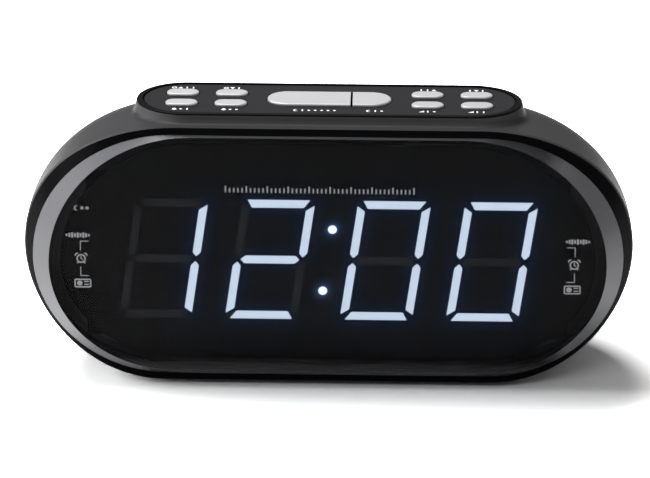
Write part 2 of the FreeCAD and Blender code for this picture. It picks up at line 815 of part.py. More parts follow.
def make_battery_contacts():
    """At each end a plate; on it a coil spring for one cell and a dimple for the other."""
    parts = []
    z = bay_floor + cell_gap / 2 + cell_radius
    for side in (-1, 1):
        x = side * bay_half
        plate = box(min(x, x - side * 0.5), max(x, x - side * 0.5), bay_front + 0.6, bay_back - 0.6,
                    z - 4, z + 4)
        for i in range(2):
            y = bay_front + cell_gap + cell_radius + i * (2 * cell_radius + cell_gap)
            sprung = (i == 0) == (side < 0)
            direction = V(-side, 0, 0)
            start = V(x - side * 0.5, y, z)
            length = contact_room - 0.5
            if sprung:
                cone = Part.makeCone(4.0, 2.4, length, start, direction)
                cone = cone.cut(Part.makeCone(3.2, 1.6, length, start, direction))
                plate = plate.fuse(cone)
            else:
                plate = plate.fuse(Part.makeCylinder(1.6, length, start, direction))
        parts.append(plate)
    return Part.makeCompound(parts)


def make_battery_door():
    z0 = case_bottom
    door = box(-bay_half + door_gap, bay_half - door_gap, bay_front + door_gap,
               bay_back - door_gap, z0, z0 + door_thick)
    near = [e for e in door.Edges if abs(e.BoundBox.YMax - bay_front - door_gap) < 0.01
            and e.BoundBox.XLength > 1]
    door = door.makeFillet(door_thick / 2 - 0.01, near)
    door = door.fuse(rod(hinge_pin, 2 * (bay_half + pin_reach), -bay_half - pin_reach,
                         hinge_y, hinge_z, RIGHT))
    grip = box(-7, 7, bay_back - 4.5, bay_back - 3.3, z0 - 1, z0 + 0.6)
    return door.cut(grip)


# ---- Feet and fasteners
def make_feet():
    feet = []
    for x in (-foot_x, foot_x):
        for y in (foot_front, foot_back):
            pad = rod(foot_radius, foot_height, x, y, 0, UP)
            rim = [e for e in pad.Edges if e.BoundBox.ZMax < 0.01]
            feet.append(pad.makeChamfer(foot_chamfer, rim))
    return Part.makeCompound(feet)


def screw(x, y, z, direction, length, radius=screw_radius):
    """Cross-recessed head seated at the given point, shank running along direction."""
    size = radius / screw_radius
    seat = V(x, y, z)
    top = seat - direction * head_height * size
    head = Part.makeCylinder(head_radius * size, head_height * size, seat, direction.negative())
    for across in (RIGHT, RIGHT.cross(direction)):
        along = direction.cross(across)
        corner = top - across * 1.4 * size - along * 0.3 * size
        bar = Part.makeBox(2.8 * size, 0.6 * size, 0.8 * size)
        turn = FreeCAD.Matrix(across.x, along.x, direction.x, corner.x,
                              across.y, along.y, direction.y, corner.y,
                              across.z, along.z, direction.z, corner.z, 0, 0, 0, 1)
        head = head.cut(bar.transformGeometry(turn))
    return head.fuse(Part.makeCylinder(radius, length, seat, direction))


def make_case_screws():
    return Part.makeCompound([screw(x, cover_split + 4, z, FRONT, 16) for x, z in boss_places])


def make_board_screws():
    back = main_setback + board_thick
    under = board_top - board_thick
    screws = [screw(x, back, z, FRONT, 7, small_screw) for x, z in board_posts]
    screws += [screw(x, bulkhead_back, z, FRONT, 8) for x, z in leg_places]
    screws += [screw(x, pod_centre, under, UP, 6, small_screw) for x in peg_places]
    return Part.makeCompound(screws)


os.makedirs("parts", exist_ok=True)
to_origin = V(0, -middle, 0)
pieces = {
    "main_case": make_main_case, "front_bezel": make_front_bezel,
    "display_lens": make_display_lens, "display_housing": make_display_housing,
    "segments_lit": lambda: make_segments(True), "segments_dark": lambda: make_segments(False),
    "colon_dots": make_colon_dots, "indicator_lamps": make_indicator_lamps,
    "display_board": make_display_board, "display_ribbon": make_display_ribbon,
    "button_panel": make_button_panel, "key_board": make_key_board,
    "key_switches": make_key_switches, "key_ribbon": make_key_ribbon,
    "rear_cover": make_rear_cover, "speaker_frame": make_speaker_frame,
    "speaker_cone": make_speaker_cone, "speaker_magnet": make_speaker_magnet,
    "dc_jack": make_dc_jack, "dc_pin": make_dc_pin,
    "main_board": make_main_board, "main_board_parts": make_main_board_parts,
    "ferrite_rod": make_ferrite_rod, "ferrite_coil": make_ferrite_coil,
    "backup_cells": make_backup_cells, "battery_contacts": make_battery_contacts,
    "battery_door": make_battery_door, "feet": make_feet,
    "case_screws": make_case_screws, "board_screws": make_board_screws,
}
for key in key_places:
    pieces[key + "_button"] = lambda key=key: make_cap(key)
    pieces[key + "_plunger"] = lambda key=key: make_plunger(key)

for name, make in pieces.items():
    shape = make()
    shape.translate(to_origin)
    shape.exportStep("parts/" + name + ".step")
    print(name, "solids", len(shape.Solids), "valid", shape.isValid(),
          "volume", round(shape.Volume))
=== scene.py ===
# %% [markdown]
# # A bedside clock with jumbo digits
#
# The clock is an oval case of dark plastic. A black ring closes its front, a smoked window with
# sloped ends sits in the ring, and a pod on the roof carries the keys. The solids come from the
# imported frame, in metres, and each is already in its place. This lesson gives them their finishes,
# adds the printing, the cloth and the grain that solids don't have, and sets up the studio.

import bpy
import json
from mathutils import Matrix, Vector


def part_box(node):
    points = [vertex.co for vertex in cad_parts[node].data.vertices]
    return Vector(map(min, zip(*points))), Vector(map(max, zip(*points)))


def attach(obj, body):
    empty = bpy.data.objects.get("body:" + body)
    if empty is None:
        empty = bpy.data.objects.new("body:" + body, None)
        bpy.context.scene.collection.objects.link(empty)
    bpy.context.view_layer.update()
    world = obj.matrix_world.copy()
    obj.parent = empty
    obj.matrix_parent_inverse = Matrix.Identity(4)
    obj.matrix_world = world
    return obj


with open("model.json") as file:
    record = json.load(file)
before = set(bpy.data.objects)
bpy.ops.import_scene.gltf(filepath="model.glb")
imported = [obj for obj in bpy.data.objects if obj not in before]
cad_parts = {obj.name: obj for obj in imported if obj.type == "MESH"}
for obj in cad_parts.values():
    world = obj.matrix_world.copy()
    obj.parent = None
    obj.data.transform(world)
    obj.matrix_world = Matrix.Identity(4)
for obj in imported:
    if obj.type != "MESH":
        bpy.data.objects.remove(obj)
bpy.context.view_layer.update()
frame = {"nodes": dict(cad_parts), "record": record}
print("pieces in the frame:", len(frame["nodes"]))

# %% Tools for the lesson
import json
import math

import bpy
from mathutils import Matrix, Vector

MM = 0.001
scene = bpy.context.scene
scene.view_settings.view_transform = "Standard"
print("colours are shown as", scene.view_settings.view_transform)

# %% [markdown]
# ## Places on the clock
#
# Everything that is added sits on a solid, so its place is worked out from that solid's box.
# The lens's box gives the flat face, and the panel's box gives the deck that carries the keys.
# The widest line of the case is a size of its own: the digits and the printing are centred on it.

# %% Measure the solids
lens_face = Vector(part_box("display_lens")[0]).y
deck = Vector(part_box("button_panel")[1]).z
widest = 47.5 * MM
print("lens face at y =", round(lens_face, 4), " deck at z =", round(deck, 4))

# %% [markdown]
# ## The camera
#
# The clock is seen from the front, a little from above. Three angles and a distance fix the
# camera: it looks at the lens from 20.5 degrees above the table and one degree to the right,
# and it leans by a third of a degree. A long lens from a metre and a half keeps the ends of the
# clock from bulging. The camera aims a little above the middle of the lens and a little to its
# left, so the clock stands slightly low in the frame and leaves room for its shadow.

# %% Set the camera
elevation = math.radians(20.5)
azimuth = math.radians(1.0)
lean = math.radians(0.33)
distance = 1.5
pixels_across = 650
pixels_per_mm = 2.78
sensor = 36.0
aim_left, aim_up = 0.9 * MM, 9.9 * MM

towards = Vector((math.sin(azimuth) * math.cos(elevation),
                  -math.cos(azimuth) * math.cos(elevation), math.sin(elevation)))
right = Vector((math.cos(azimuth), math.sin(azimuth), 0))
up = towards.cross(right)
look_at = Vector((0, lens_face, widest)) - aim_left * right + aim_up * up

camera_data = bpy.data.cameras.new("camera")
camera_data.sensor_width = sensor
camera_data.lens = sensor * pixels_per_mm * distance / MM / pixels_across
camera_data.clip_end = 20
camera = bpy.data.objects.new("camera", camera_data)
scene.collection.objects.link(camera)
across = math.cos(lean) * right + math.sin(lean) * up
upright = math.cos(lean) * up - math.sin(lean) * right
turn = Matrix((across, upright, towards)).transposed().to_4x4()
camera.matrix_world = Matrix.Translation(look_at + distance * towards) @ turn
scene.camera = camera
print("lens of", round(camera_data.lens, 1), "mm")

# %% [markdown]
# ## Shader sums in plain Python
#
# A finish is a small network of nodes. Written node by node it is long and hard to read, so one
# class wraps a socket and turns Python's operators into Math nodes. A second class makes every
# other node through one method, and a third adds what is special to a material: places and
# directions on the surface, noise, bands, mixed colours and bumps.

# %% Wrap a socket
class Value:
    """A number that varies from place to place; sums on it add Math nodes."""

    def __init__(self, network, socket):
        self.network = network
        self.socket = socket

    def sum_of(self, operation, *parts):
        return self.network.node("Math", {"operation": operation}, dict(enumerate(parts)))

    def __add__(self, other):
        return self.sum_of("ADD", self, other)

    def __radd__(self, other):
        return self.sum_of("ADD", other, self)

    def __sub__(self, other):
        return self.sum_of("SUBTRACT", self, other)

    def __rsub__(self, other):
        return self.sum_of("SUBTRACT", other, self)

    def __neg__(self):
        return 0 - self

    def __mul__(self, other):
        return self.sum_of("MULTIPLY", self, other)

    def __rmul__(self, other):
        return self.sum_of("MULTIPLY", other, self)

    def __truediv__(self, other):
        return self.sum_of("DIVIDE", self, other)

    def __pow__(self, other):
        return self.sum_of("POWER", self, other)

    def __abs__(self):
        return self.sum_of("ABSOLUTE", self)

    def over(self, other):
        """1 where this is greater than other, and 0 elsewhere."""
        return self.sum_of("GREATER_THAN", self, other)

    def at_least(self, other):
        return self.sum_of("MAXIMUM", self, other)

    def at_most(self, other):
        return self.sum_of("MINIMUM", self, other)

    def rising(self, start, width):
        """0 up to start, then rising by 1 over each width."""
        return ((self - start) / width).at_least(0.0)

    def fading(self, reach):
        """1 at zero, falling to a third at reach."""
        return self.sum_of("EXPONENT", self * (-1 / reach))


print("operators ready")


# %% Hold a network
class Network:
    """A tree of nodes; every node that isn't a sum is made here."""

    def __init__(self, tree):
        self.tree = tree

    def feed(self, socket, value):
        if isinstance(value, Value):
            self.tree.links.new(value.socket, socket)
        elif socket.type == "RGBA":
            socket.default_value = (*value, 1)
        else:
            socket.default_value = value

    def node(self, kind, settings, inputs, output=0):
        made = self.tree.nodes.new("ShaderNode" + kind)
        for key, value in settings.items():
            setattr(made, key, value)
        for key, value in inputs.items():
            self.feed(made.inputs[key], value)
        return Value(self, made.outputs[output])

    def watched(self):
        """1 for rays that are looked along, also by way of a mirror or glass; 0 for lighting."""
        camera_ray, glossy_ray, clear_ray = (
            self.node("LightPath", {}, {}, name)
            for name in ("Is Camera Ray", "Is Glossy Ray", "Is Transmission Ray"))
        return camera_ray.at_least(glossy_ray).at_least(clear_ray)


print("networks ready")

# %% Hold a finish
finishes = {}


class Finish(Network):
    """A material whose varying parts are Values."""

    def __init__(self, name):
        self.material = bpy.data.materials.new(name)
        self.material.use_nodes = True
        super().__init__(self.material.node_tree)
        self.surface = self.tree.nodes["Principled BSDF"]
        finishes[name] = self.material

    def set(self, **inputs):
        for key, value in inputs.items():
            self.feed(self.surface.inputs[key.replace("_", " ")], value)

    def place(self):
        return self.node("TexCoord", {}, {}, "Object")

    def axis(self, letter):
        """How far along an axis the point lies, in metres."""
        return self.node("SeparateXYZ", {}, {0: self.place()}, letter)

    def facing(self, letter):
        """How much the surface faces along an axis, from -1 to 1."""
        normal = self.node("NewGeometry", {}, {}, "Normal")
        return self.node("SeparateXYZ", {}, {0: normal}, letter)

    def front(self):
        """1 on the outer side of a face and 0 on its back."""
        return 1 - self.node("NewGeometry", {}, {}, "Backfacing")

    def noise(self, size, detail=2.0, stretch=(1, 1, 1)):
        """Noise from 0 to 1 whose features are about size metres across."""
        spot = self.node("VectorMath", {"operation": "MULTIPLY"}, {0: self.place(), 1: stretch})
        return self.node("TexNoise", {}, {"Vector": spot, "Scale": 1 / size, "Detail": detail})

    def bands(self, way, pitch):
        """Soft bands side by side along an axis, a wave texture that repeats at each pitch."""
        repeat_at_scale_one = 0.31
        return self.node("TexWave", {"bands_direction": way},
                         {"Vector": self.place(), "Scale": repeat_at_scale_one / pitch}, "Fac")

    def mix(self, amount, first, second):
        return self.node("Mix", {"data_type": "RGBA"}, {0: amount, 6: first, 7: second}, 2)

    def bump(self, height, depth, strength=1.0):
        return self.node("Bump", {}, {"Height": height, "Distance": depth, "Strength": strength})


print("finishes made so far:", len(finishes))

# %% [markdown]
# ## Case plastic
#
# The case, its rear cover and the battery lid are moulded in dark grey plastic with a satin
# surface, and the panel of the pod in a darker one. A flat grey would look like paper, so three
# things vary: a very fine grain, such as a spark-eroded mould leaves, a slow drift of the gloss,
# such as handling leaves, and a faint drift of the grey itself. All three are guesses. The grain
# goes into a bump, because it is far too fine to be modelled.
#
# Two more things belong to the case alone, both painted light and found from the surface
# instead of being placed by hand. What turns to the front is painted a little paler, and most
# of all towards the two ends: a painted sheen on the eased front edge and the wall of the pod.
# This is a correction and no finding: one even grey came out too dark on both, and why the real
# ones are paler isn't known. The rim round the panel is painted dull and nearly black, the
# painted shade of the gap round the panel, so it reads as one dark line with the gap inside it:
# it is the plastic above a given height.

# %% Make the case plastic
def moulded(name, grey, gloss, grain_size, grain_depth, shine, rim=None):
    """Moulded plastic; with a rim, a painted sheen in front and dull black painted shade above it.
    """
    finish = Finish(name)
    drift = finish.noise(18 * MM)
    grain = finish.noise(grain_size, 1.0)
    handled = finish.noise(45 * MM, 3.0)
    colour = finish.mix(drift, [0.93 * c for c in grey], [1.07 * c for c in grey])
    dullness = gloss + 0.07 * (handled - 0.5) + 0.06 * (grain - 0.5)
    if rim is not None:
        # painted sheen: what faces the front, most of all towards the ends, is made paler
        painted_sheen = (-finish.facing("Y")).rising(0.3, 0.6) * (abs(finish.facing("X")) + 0.3)
        colour = finish.mix(painted_sheen, colour, (0.17, 0.17, 0.17))
        # painted shade: above the rim the plastic is nearly black and dull, the shade of the gap
        painted_rim_shade = finish.axis("Z").over(rim)
        colour = finish.mix(painted_rim_shade, colour, (0.004, 0.004, 0.004))
        dullness = dullness.at_least(0.95 * painted_rim_shade)
    finish.set(Base_Color=colour, Roughness=dullness, IOR=shine, Coat_Weight=0.07,
               Coat_Roughness=0.25, Normal=finish.bump(grain, grain_depth, 0.5))


rim_height = 0.35 * MM
moulded("case", (0.0425, 0.042, 0.044), 0.36, 0.45 * MM, 0.010 * MM, 1.03, deck - rim_height)
moulded("panel", (0.015, 0.014, 0.0155), 0.55, 0.35 * MM, 0.012 * MM, 1.06)
print("plastics:", sorted(finishes))

# %% [markdown]
# ## Bezel
#
# The ring round the lens is moulded in black, and hardly any reflection shows on it. A full gloss
# was tried: it mirrored the studio, so the ring turned grey and its right end white. So the ring
# is left almost without reflections: a nearly black plastic with a slight haze under a very thin
# coat.

# %% Make the bezel
ring = Finish("bezel")
ring_haze = ring.noise(30 * MM)
ring.set(Base_Color=ring.mix(ring_haze, (0.0036, 0.0036, 0.0039), (0.0048, 0.0048, 0.0052)),
         Roughness=0.25 + 0.05 * ring_haze, IOR=1.0, Coat_Weight=0.02, Coat_Roughness=0.3)
print("bezel ready")

# %% [markdown]
# ## Lens
#
# The lens is smoked: the light of the digits comes through, and the housing behind it stays
# nearly invisible. Real smoked plastic takes light on its way through, which in a renderer costs
# many bounces. Here the surface lets a fixed share of the light pass, which gives the same dark
# window for little work. The smoke lies on the outer faces alone, and the inner faces are left
# clear, or they'd show as a second edge.
#
# The sloped ends read as grey crescents. Here they are a painted reflection: pale grey on the
# slopes, which stays in place when the camera moves and needs nothing in the room to be mirrored;
# without it the crescents came out less than half as bright. They are found from the surface
# itself: the painted reflection comes in where the face turns away from the front, to the left,
# to the right, upwards, and below a given line. Each starts at its own angle and rises softly.

# %% Make the lens
smoke_level = 0.51
painted_reflection_level = 0.95
clear_grey, painted_reflection_grey = (0.0025, 0.0025, 0.003), (0.17, 0.17, 0.182)

smoke = Finish("lens")
sideways = smoke.facing("X")
left_end = (-sideways).rising(0.03, 0.14)
right_end = sideways.rising(0.33, 0.15)
ends = left_end.at_least(right_end).at_most(1.0)
low_edge = widest - 36.0 * MM
lower = (low_edge - smoke.axis("Z")).rising(0.0, 11 * MM).at_most(0.6)
upper = smoke.facing("Z").rising(0.35, 0.25).at_most(0.36)
seen_from_front = (-smoke.facing("Y")).over(0.1)
outside = smoke.front()
# painted reflection: pale grey on the sloped ends, a line along the top, a band along the bottom
painted_reflection_mask = ends.at_least(lower).at_least(upper) * seen_from_front * outside
smear = smoke.noise(25 * MM, 3.0)
smoke.set(Base_Color=smoke.mix(painted_reflection_mask, clear_grey, painted_reflection_grey),
          Roughness=0.05 + 0.03 * smear + 0.22 * painted_reflection_mask,
          Alpha=(smoke_level + (painted_reflection_level - smoke_level) * painted_reflection_mask) * outside,
          Coat_Weight=0.35 * painted_reflection_mask, Coat_Roughness=0.4, Specular_IOR_Level=0.055)
print("the smoke keeps back", smoke_level)

# %% [markdown]
# ## Digits
#
# Each digit is made of seven light guides behind the lens, and it leans by eight degrees. Lit
# guides glow pale blue-white, and unlit ones are only just visible. The lens takes half of the
# light, so the glow is set twice as bright as it shall look. The colon's two dots share the
# finish of the lit guides but are a purer white, so they are picked out by their place: they are
# all that lies close to the leaning middle line.

# %% Measure the digits
digit_centre = widest + 0.9 * MM
digit_lean = math.tan(math.radians(8.1))
half_wide, half_high = 13.1 * MM, 22.9 * MM
colon_half = 11.8 * MM
through_lens = 1 - smoke_level
print("light through the lens:", round(through_lens, 2))

# %% Make the light guides
glow = (0.49, 0.585, 0.72)
colon_glow = (0.86, 0.92, 1.0)
colon_strip = 3 * MM

light = Finish("light")
cloud = light.noise(3 * MM)
bars = light.mix(cloud, [0.94 * c for c in glow], [1.06 * c for c in glow])
from_middle = abs(light.axis("X") - (light.axis("Z") - digit_centre) * digit_lean)
colon = 1 - from_middle.over(colon_strip)
light.set(Base_Color=(0.55, 0.60, 0.68), Roughness=0.45,
          Emission_Color=light.mix(colon, bars, colon_glow), Emission_Strength=1 / through_lens)

dim = Finish("dim")
frost = dim.noise(0.5 * MM)
dim.set(Base_Color=dim.mix(frost, (0.0095, 0.0100, 0.0165), (0.0130, 0.0138, 0.0220)),
        Roughness=0.55, Specular_IOR_Level=0.3)
print("guides glow at", round(1 / through_lens, 2))

# %% [markdown]
# ## The housing and its halo
#
# The housing that carries the guides is dead black. Round each lit guide there is a dim blue
# halo a few millimetres wide, and it is painted light: the housing itself glows there. The halo
# is the distance to the nearest lit guide, put through a falling curve. A guide is nearly a
# rectangle, so its distance is cheap: how far the point lies beyond its half length and half
# width. The digits lean, so the point is first sheared back.

# %% Describe the lit guides
guide = 1.5 * MM
long_bar = (half_wide - 3 * MM, guide)
post = (guide, half_high / 2 - 2 * MM)
guides = {"a": (0, half_high - guide, *long_bar), "g": (0, 0, *long_bar),
          "d": (0, guide - half_high, *long_bar),
          "b": (half_wide - guide, half_high / 2, *post),
          "c": (half_wide - guide, -half_high / 2, *post),
          "e": (guide - half_wide, -half_high / 2, *post),
          "f": (guide - half_wide, half_high / 2, *post)}
shown = {-59.2 * MM: "bc", -20.8 * MM: "abdeg", 20.8 * MM: "abcdef", 59.2 * MM: "abcdef"}
print("guides lit:", sum(len(letters) for letters in shown.values()))

# %% Make the housing
painted_halo_colour, halo_reach = (0.0030, 0.0130, 0.0420), 2.2 * MM
painted_dot_colour, dot_radius, dot_reach = (0.05, 0.12, 0.30), 1.6 * MM, 0.9 * MM

mask = Finish("mask")
height = mask.axis("Z") - digit_centre
along = mask.axis("X") - height * digit_lean
nearest = None
for digit_x, letters in shown.items():
    for letter in letters:
        x, z, half_x, half_z = guides[letter]
        beyond_x = (abs(along - (digit_x + x)) - half_x).at_least(0.0)
        beyond_z = (abs(height - z) - half_z).at_least(0.0)
        reach = (beyond_x * beyond_x + beyond_z * beyond_z) ** 0.5
        nearest = reach if nearest is None else nearest.at_most(reach)
above = abs(height) - colon_half
to_dot = (above * above + along * along) ** 0.5
# painted light: the housing glows blue round the lit guides and the colon's dots
painted_halo = mask.mix(nearest.fading(halo_reach), (0, 0, 0), painted_halo_colour)
painted_dot_halo = mask.mix((to_dot - dot_radius).fading(dot_reach), (0, 0, 0), painted_dot_colour)
soot = mask.noise(1.2 * MM)
mask.set(Base_Color=mask.mix(soot, (0.0020, 0.0020, 0.0022), (0.0026, 0.0026, 0.0029)),
         Roughness=0.8, Specular_IOR_Level=0.05,
         Emission_Color=mask.node("VectorMath", {"operation": "ADD"}, {0: painted_halo, 1: painted_dot_halo}),
         Emission_Strength=1.0)
print("nodes in the housing's finish:", len(mask.tree.nodes))

# %% [markdown]
# ## Keys
#
# The keys are silver, most likely sprayed over grey plastic. Silver paint is a clear binder with
# tiny metal flakes, so the finish is a pale grey that is a little metallic, with a fine sparkle
# in its roughness. Such paint shows no brush marks, so there is no direction in it.

# %% Make the silver paint
silver = Finish("key")
flakes = silver.noise(0.25 * MM, 1.0)
worn = silver.noise(9 * MM, 3.0)
silver.set(Base_Color=silver.mix(flakes, (0.36, 0.36, 0.37), (0.45, 0.45, 0.46)),
           Metallic=0.18 + 0.1 * flakes, Roughness=0.34 + 0.1 * worn,
           Normal=silver.bump(flakes, 0.004 * MM, 0.5))
print("silver paint ready")

# %% [markdown]
# ## Boards
#
# The boards show only when the case is off. A printed board is green lacquer over copper tracks,
# and the tracks stand up a little under the lacquer. A real layout would be thousands of lines,
# so the tracks are the thin edges between the cells of a cell pattern: a web that joins
# everything, as tracks do, and costs one node.

# %% Make the board
board = Finish("circuit_board")
cell_size = 4 * MM
track_width = 0.07
web = board.node("TexVoronoi", {"feature": "DISTANCE_TO_EDGE"},
                 {"Vector": board.place(), "Scale": 1 / cell_size}, "Distance")
tracks = 1 - web.over(track_width)
board.set(Base_Color=board.mix(tracks, (0.012, 0.10, 0.035), (0.03, 0.20, 0.07)),
          Roughness=0.30 + 0.1 * board.noise(8 * MM), Normal=board.bump(tracks, 0.03 * MM, 0.6))
print("board ready")

# %% [markdown]
# ## Ribbons and the coil
#
# A ribbon cable is a row of fine wires side by side in grey vinyl, and the aerial's coil is
# enamelled copper wire in close turns. Both are a row of equal ridges, so both use soft bands at
# the pitch of the real wires, once as colour and once as a bump.

# %% Make the ribbon and the copper
ribbon = Finish("ribbon")
wires = ribbon.bands("X", 1.27 * MM)
ribbon.set(Base_Color=ribbon.mix(wires, (0.36, 0.36, 0.37), (0.55, 0.55, 0.55)), Roughness=0.5,
           Normal=ribbon.bump(wires, 0.2 * MM))

copper = Finish("copper")
turns = copper.bands("X", 0.5 * MM)
copper.set(Base_Color=copper.mix(turns, (0.30, 0.10, 0.04), (0.72, 0.33, 0.16)), Metallic=0.8,
           Roughness=0.32, Normal=copper.bump(turns, 0.2 * MM))
print("ribbon and copper ready")

# %% [markdown]
# ## Steel and cells
#
# Screws, contacts and the magnet's plates are plated steel: fully metallic, with fine scratches
# that are drawn out in one direction by stretching the noise. The two small cells wear a printed
# sleeve, and their bare steel ends are found by their place along the axis.

# %% Make the steel and the cells
plated = Finish("steel")
scratch = plated.noise(0.6 * MM, 3.0, (1, 1, 8))
plated.set(Base_Color=plated.mix(scratch, (0.50, 0.50, 0.49), (0.64, 0.63, 0.61)), Metallic=1.0,
           Roughness=0.26 + 0.18 * scratch)

cell = Finish("cell")
wrap = cell.noise(6 * MM)
bare_end = abs(cell.axis("X")).over(17 * MM)
cell.set(Base_Color=cell.mix(bare_end, (0.03, 0.07, 0.16), (0.30, 0.31, 0.32)),
         Metallic=0.25, Roughness=0.28 + 0.12 * wrap)
print("steel and cells ready")

# %% [markdown]
# ## Dull dark things
#
# Rubber feet, the sintered ferrite of the aerial and the magnet, the pressed paper of the cone
# and the bodies of the switches are all dark and dull. They differ only in their grey, the size
# and depth of their grain, and how much they shine, so one recipe serves all four.

# %% Make the dull dark finishes
def dark(name, low, high, grain_size, grain_depth, gloss):
    """A dull dark material whose grain shows in its colour, gloss and relief."""
    finish = Finish(name)
    grain = finish.noise(grain_size, 3.0)
    finish.set(Base_Color=finish.mix(grain, low, high), Roughness=gloss + 0.1 * grain,
               Normal=finish.bump(grain, grain_depth))


dark("foot", (0.012, 0.012, 0.012), (0.024, 0.024, 0.023), 0.6 * MM, 0.03 * MM, 0.75)
dark("ferrite", (0.045, 0.045, 0.048), (0.075, 0.075, 0.08), 0.8 * MM, 0.04 * MM, 0.55)
dark("paper", (0.030, 0.030, 0.031), (0.060, 0.060, 0.060), 0.9 * MM, 0.08 * MM, 0.85)
dark("switch_body", (0.022, 0.022, 0.023), (0.035, 0.035, 0.036), 0.5 * MM, 0.02 * MM, 0.42)
print("finishes so far:", len(finishes))

# %% [markdown]
# ## Finish every solid
#
# Each piece of the record names its material slot, and the finishes have the same names. So one
# loop dresses the whole clock, and a piece that is added later is dressed without a new line.

# %% Give every solid its finish
for part in frame["record"]["subparts"]:
    for slot in frame["nodes"][part["node"]].material_slots:
        slot.material = finishes[part["material_slot"]]

# %% [markdown]
# ## Printing
#
# The clock has small white printing on its lens and on the deck of the pod. On the lens it is
# put on the back here; which face carries it on the real one isn't known. It is ink a few
# hundredths of a millimetre thick. An image would do, but then it would be soft close up, so
# every mark is a thin solid: strokes, rings and discs, drawn in millimetres on a flat sheet and
# then laid on the lens or on the deck.


# %% Draw with strokes and discs
class Ink:
    """Flat shapes in millimetres, collected as separate faces."""

    def __init__(self):
        self.points = []
        self.faces = []

    def shape(self, outline):
        first = len(self.points)
        self.points += outline
        self.faces.append(list(range(first, len(self.points))))
        return self

    def stroke(self, start, end, width):
        (x0, y0), (x1, y1) = start, end
        length = math.hypot(x1 - x0, y1 - y0)
        nx, ny = (y0 - y1) / length * width / 2, (x1 - x0) / length * width / 2
        return self.shape([(x0 - nx, y0 - ny), (x1 - nx, y1 - ny), (x1 + nx, y1 + ny),
                           (x0 + nx, y0 + ny)])

    def path(self, points, width):
        for start, end in zip(points, points[1:]):
            self.stroke(start, end, width)
        return self

    def arc(self, centre, radius, first, last, width, steps=24):
        """Part of a ring; angles in degrees."""
        angles = [math.radians(first + (last - first) * i / steps) for i in range(steps + 1)]
        near, far = radius - width / 2, radius + width / 2
        for a, b in zip(angles, angles[1:]):
            self.shape([(centre[0] + r * math.cos(t), centre[1] + r * math.sin(t))
                        for r, t in ((near, a), (far, a), (far, b), (near, b))])
        return self

    def disc(self, centre, radius, steps=20):
        return self.shape([(centre[0] + radius * math.cos(math.tau * i / steps),
                            centre[1] + radius * math.sin(math.tau * i / steps))
                           for i in range(steps)])

    def copy(self, other, shift):
        for face in other.faces:
            self.shape([(shift[0] + other.points[i][0], shift[1] + other.points[i][1])
                        for i in face])
        return self


print("a disc has", len(Ink().disc((0, 0), 1.0).points), "corners")

# %% [markdown]
# ### From a drawing to a piece
#
# A drawing becomes a slab: its faces are copied to the top and, turned over, to the bottom, and a
# side face joins each pair of edges. The slab is closed, so it is a sound mesh for any other
# program. Real ink doesn't glow, but this ink does a little: the smoke of the lens dims the light
# on its way in and out, and without the glow the marks on the lens came out far too dark.

# %% Turn a drawing into a piece
ink_finish = Finish("ink")
ink_grain = ink_finish.noise(0.2 * MM)
ink_finish.set(Base_Color=ink_finish.mix(ink_grain, (0.62, 0.62, 0.64), (0.74, 0.74, 0.76)),
               Roughness=0.6, Emission_Color=(0.75, 0.75, 0.78), Emission_Strength=0.55)
ink_depth = 0.03 * MM
print("ink is", round(ink_depth / MM, 2), "mm thick")


def print_on(name, ink, origin, x_axis, y_axis, slot, finish=ink_finish):
    """Lay a drawing on a flat face as thin closed slabs."""
    x_axis, y_axis = Vector(x_axis), Vector(y_axis)
    outward = x_axis.cross(y_axis)
    flat = [Vector(origin) + MM * (u * x_axis + v * y_axis) for u, v in ink.points]
    count = len(flat)
    faces = [tuple(count + i for i in face) for face in ink.faces]
    faces += [tuple(reversed(face)) for face in ink.faces]
    for face in ink.faces:
        for i, j in zip(face, face[1:] + face[:1]):
            faces.append((i, j, count + j, count + i))
    mesh = bpy.data.meshes.new(name)
    mesh.from_pydata(flat + [point + ink_depth * outward for point in flat], [], faces)
    piece = bpy.data.objects.new(name, mesh)
    scene.collection.objects.link(piece)
    mesh.materials.append(finish.material)
    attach(piece, "case")
    print(name, "has", len(ink.faces), "shapes")
    return piece


# %% [markdown]
# ### Pictures for the lamps
#
# Beside the digits, each small lamp has its meaning printed next to it: a moon for the hours
# after noon, a row of sound bars for the buzzer, a small alarm clock and a radio. Thin lines
# join the lamps of a pair. Each picture is drawn once about its own middle and then copied to
# its place.

# %% Draw the moon and the bell
def circle_points(centre_x, radius, first, last, step):
    """Points on part of a circle; angles in degrees."""
    return [(centre_x + radius * math.cos(math.radians(a)), radius * math.sin(math.radians(a)))
            for a in range(first, last, step)]


moon = Ink().shape(circle_points(0, 1, 60, 301, 12) + circle_points(0.42, 0.82, 266, 93, -12))

bell = Ink().shape([(-1.0, -0.65), (1.0, -0.65), (0.72, -0.3), (0.62, 0.4), (0.35, 0.85), (0, 1.0),
                    (-0.35, 0.85), (-0.62, 0.4), (-0.72, -0.3)])
bell.disc((0, -0.85), 0.25)
print("the moon has", len(moon.points), "points")

# %% Draw the sound bars, the alarm clock and the radio
line = 0.5

buzz = Ink()
bar_heights = (0.8, 1.5, 2.0, 1.3, 2.0, 1.3, 2.0, 1.5, 0.8)
for i, tall in enumerate(bar_heights):
    buzz.stroke((i - 4, -tall / 2), (i - 4, tall / 2), 0.7)

alarm = Ink().arc((0, 0), 1.45, 0, 360, line, 36)
alarm.path([(0, 0.85), (0, 0), (0.6, -0.35)], 0.4)
for side, first in ((-1, 75), (1, -15)):
    alarm.arc((side * 1.3, 1.25), 0.75, first, first + 120, line, 8)
    alarm.stroke((side * 1.0, -1.3), (side * 1.45, -1.85), line)

